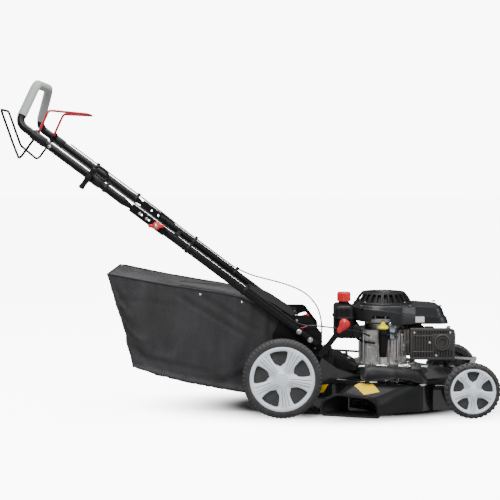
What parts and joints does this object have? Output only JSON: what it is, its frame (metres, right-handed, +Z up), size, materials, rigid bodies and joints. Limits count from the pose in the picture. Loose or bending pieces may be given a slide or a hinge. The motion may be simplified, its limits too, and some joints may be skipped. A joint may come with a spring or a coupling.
{
  "type": "lawn mower",
  "caption": "Walk-behind petrol lawn mower with a rear grass bag, side chute, folding tube handle, control bails and adjustable cutting height.",
  "frame": {"origin": "on the ground, at the centre of the base of the whole mower's box, handle and chute included", "axes": "+X forwards, away from the handle; +Y the mower's left; +Z up"},
  "size_m": [1.6106, 0.588, 1.076],
  "materials": {
    "black_steel": "gloss black enamel",
    "tube_black": "satin black powder coat",
    "zinc_steel": "zinc plated",
    "blade_steel": "ground edge",
    "aluminium": "as cast",
    "fins": "as cast",
    "cowl_plastic": "moulded",
    "black_plastic": "fine grain",
    "red_plastic": "moulded",
    "red_wire": "plastic coated",
    "yellow_plastic": "moulded",
    "wheel_grey": "moulded, light grey",
    "tyre": "moulded tread",
    "foam": "closed-cell foam",
    "cable_black": "smooth sleeve",
    "belt_rubber": "moulded",
    "guard_black": "heat-proof black",
    "bag_cloth": "woven polyester"
  },
  "bodies": {
    "deck": {"deck_shell": "black_steel", "handle_brackets": "tube_black", "wash_port": "black_plastic", "flap_pins": "zinc_steel", "rear_flap_spring": "zinc_steel", "crankcase": "aluminium", "cylinder": "fins", "cylinder_head": "aluminium", "spark_plug": "cable_black", "muffler": "zinc_steel", "muffler_guard": "guard_black", "engine_cowl": "cowl_plastic", "recoil_cover": "cowl_plastic", "fuel_tank": "black_plastic", "oil_filler_tube": "black_plastic", "carburettor": "black_plastic", "drive_belt": "belt_rubber", "gearbox": "aluminium", "fasteners": "zinc_steel", "engine_cables": "cable_black"},
    "side_chute": {"side_chute": "black_plastic"},
    "side_flap": {"side_flap": "black_plastic"},
    "rear_flap": {"rear_flap": "black_plastic"},
    "bag": {"bag_fabric": "bag_cloth", "bag_frame": "zinc_steel"},
    "height_adjuster": {"rear_axle": "zinc_steel", "height_lever": "tube_black", "height_grip": "red_plastic"},
    "front_axle": {"front_axle": "zinc_steel"},
    "link_rod": {"link_rod": "zinc_steel"},
    "rear_wheel_right": {"rear_tyre_right": "tyre", "rear_wheel_right": "wheel_grey"},
    "rear_wheel_left": {"rear_tyre_left": "tyre", "rear_wheel_left": "wheel_grey"},
    "front_wheel_right": {"front_tyre_right": "tyre", "front_wheel_right": "wheel_grey"},
    "front_wheel_left": {"front_tyre_left": "tyre", "front_wheel_left": "wheel_grey"},
    "fuel_cap": {"fuel_cap": "red_plastic"},
    "dipstick": {"dipstick": "yellow_plastic"},
    "rotor": {"crankshaft": "zinc_steel", "flywheel": "aluminium", "blade": "blade_steel", "blade_bolt": "zinc_steel"},
    "gearbox_pulley": {"gearbox_pulley": "zinc_steel"},
    "drive_shaft": {"drive_shaft": "zinc_steel"},
    "lower_handle": {"lower_handle": "tube_black", "lower_cables": "cable_black"},
    "upper_handle": {"upper_handle": "tube_black", "foam_grip": "foam", "bail_brackets": "black_plastic", "rope_guide": "black_plastic", "upper_cables": "cable_black"},
    "fold_knob_right": {"fold_knob_right": "red_plastic"},
    "fold_knob_left": {"fold_knob_left": "red_plastic"},
    "foot_lever_right": {"foot_lever_right": "red_plastic"},
    "foot_lever_left": {"foot_lever_left": "red_plastic"},
    "brake_bail": {"brake_bail": "red_wire"},
    "drive_bail": {"drive_bail": "tube_black"},
    "starter_grip": {"starter_grip": "black_plastic"}
  },
  "joints": [
    {"name": "cutting_height", "type": "hinge", "parent": "deck", "child": "height_adjuster", "pos_m": [0.16209, 0.032, 0.1016], "axis": [0, 1, 0], "range_deg": [-50, 0]},
    {"name": "front_cranks", "type": "hinge", "parent": "deck", "child": "front_axle", "pos_m": [0.76509, 0.032, 0.0636], "axis": [0, 1, 0], "range_deg": [-50, 0]},
    {"name": "link_pin", "type": "hinge", "parent": "height_adjuster", "child": "link_rod", "pos_m": [0.19167, 0.237, 0.16504], "axis": [0, 1, 0], "range_deg": [0, 50]},
    {"name": "rear_wheel_right_spin", "type": "hinge", "parent": "height_adjuster", "child": "rear_wheel_right", "pos_m": [0.1133, -0.2055, 0.127], "axis": [0, 1, 0], "continuous": true},
    {"name": "rear_wheel_left_spin", "type": "hinge", "parent": "height_adjuster", "child": "rear_wheel_left", "pos_m": [0.1133, 0.2695, 0.127], "axis": [0, 1, 0], "continuous": true},
    {"name": "front_wheel_right_spin", "type": "hinge", "parent": "front_axle", "child": "front_wheel_right", "pos_m": [0.7163, -0.208, 0.089], "axis": [0, 1, 0], "continuous": true},
    {"name": "front_wheel_left_spin", "type": "hinge", "parent": "front_axle", "child": "front_wheel_left", "pos_m": [0.7163, 0.272, 0.089], "axis": [0, 1, 0], "continuous": true},
    {"name": "lower_fold", "type": "hinge", "parent": "deck", "child": "lower_handle", "pos_m": [0.2033, 0.032, 0.24532], "axis": [0, 1, 0], "range_deg": [0, 50], "deforming": ["engine_cables"]},
    {"name": "upper_fold", "type": "hinge", "parent": "lower_handle", "child": "upper_handle", "pos_m": [-0.2857, 0.032, 0.61034], "axis": [0, 1, 0], "range_deg": [0, 120]},
    {"name": "fold_knob_right_turn", "type": "hinge", "parent": "lower_handle", "child": "fold_knob_right", "pos_m": [-0.2857, -0.174, 0.61034], "axis": [0, 1, 0], "range_deg": [-180, 0]},
    {"name": "fold_knob_left_turn", "type": "hinge", "parent": "lower_handle", "child": "fold_knob_left", "pos_m": [-0.2857, 0.238, 0.61034], "axis": [0, 1, 0], "range_deg": [0, 180]},
    {"name": "foot_lever_right_turn", "type": "hinge", "parent": "lower_handle", "child": "foot_lever_right", "pos_m": [0.1673, -0.138, 0.27219], "axis": [0, 1, 0], "range_deg": [-50, 0]},
    {"name": "foot_lever_left_turn", "type": "hinge", "parent": "lower_handle", "child": "foot_lever_left", "pos_m": [0.1673, 0.202, 0.27219], "axis": [0, 1, 0], "range_deg": [-50, 0]},
    {"name": "brake_bail_squeeze", "type": "hinge", "parent": "upper_handle", "child": "brake_bail", "pos_m": [-0.6637, 0.032, 0.906], "axis": [0, -1, 0], "range_deg": [0, 42], "stiffness_Nm_per_rad": 0.9, "springref_deg": -28.65},
    {"name": "drive_bail_squeeze", "type": "hinge", "parent": "upper_handle", "child": "drive_bail", "pos_m": [-0.6737, 0.032, 0.889], "axis": [0, 1, 0], "range_deg": [0, 45], "stiffness_Nm_per_rad": 0.9, "springref_deg": -45.84},
    {"name": "starter_pull", "type": "slide", "parent": "upper_handle", "child": "starter_grip", "axis": [-0.8014, 0, 0.5982], "range_m": [0, 0.12]},
    {"name": "rear_flap_lift", "type": "hinge", "parent": "deck", "child": "rear_flap", "pos_m": [0.1613, 0.032, 0.3052], "axis": [0, 1, 0], "range_deg": [0, 95], "stiffness_Nm_per_rad": 0.15, "springref_deg": -34.38},
    {"name": "side_flap_lift", "type": "hinge", "parent": "deck", "child": "side_flap", "pos_m": [0.4653, -0.194, 0.164], "axis": [-1, 0, 0], "range_deg": [0, 105], "stiffness_Nm_per_rad": 0.03, "springref_deg": -34.38},
    {"name": "chute_pull", "type": "slide", "parent": "deck", "child": "side_chute", "axis": [0, -1, 0], "range_m": [0, 0.12]},
    {"name": "bag_pull", "type": "slide", "parent": "deck", "child": "bag", "axis": [-1, 0, 0], "range_m": [0, 0.35]},
    {"name": "fuel_cap_turn", "type": "hinge", "parent": "deck", "child": "fuel_cap", "pos_m": [0.3193, -0.028, 0.37], "axis": [0, 0, 1], "range_deg": [0, 90]},
    {"name": "dipstick_turn", "type": "hinge", "parent": "deck", "child": "dipstick", "pos_m": [0.4443, -0.078, 0.27], "axis": [0, 0, 1], "range_deg": [0, 90]},
    {"name": "rotor_spin", "type": "hinge", "parent": "deck", "child": "rotor", "pos_m": [0.4543, 0.032, 0.1], "axis": [0, 0, 1], "continuous": true},
    {"name": "gearbox_pulley_spin", "type": "hinge", "parent": "deck", "child": "gearbox_pulley", "pos_m": [0.2253, 0.032, 0.102], "axis": [0, 0, 1], "continuous": true},
    {"name": "drive_shaft_spin", "type": "hinge", "parent": "deck", "child": "drive_shaft", "pos_m": [0.16209, 0.032, 0.1016], "axis": [0, 1, 0], "continuous": true}
  ],
  "couplings": [
    {"joint": "front_cranks", "follows": "cutting_height", "ratio": 1},
    {"joint": "link_pin", "follows": "cutting_height", "ratio": -1},
    {"joint": "drive_shaft_spin", "follows": "gearbox_pulley_spin", "ratio": 0.083333}
  ]
}
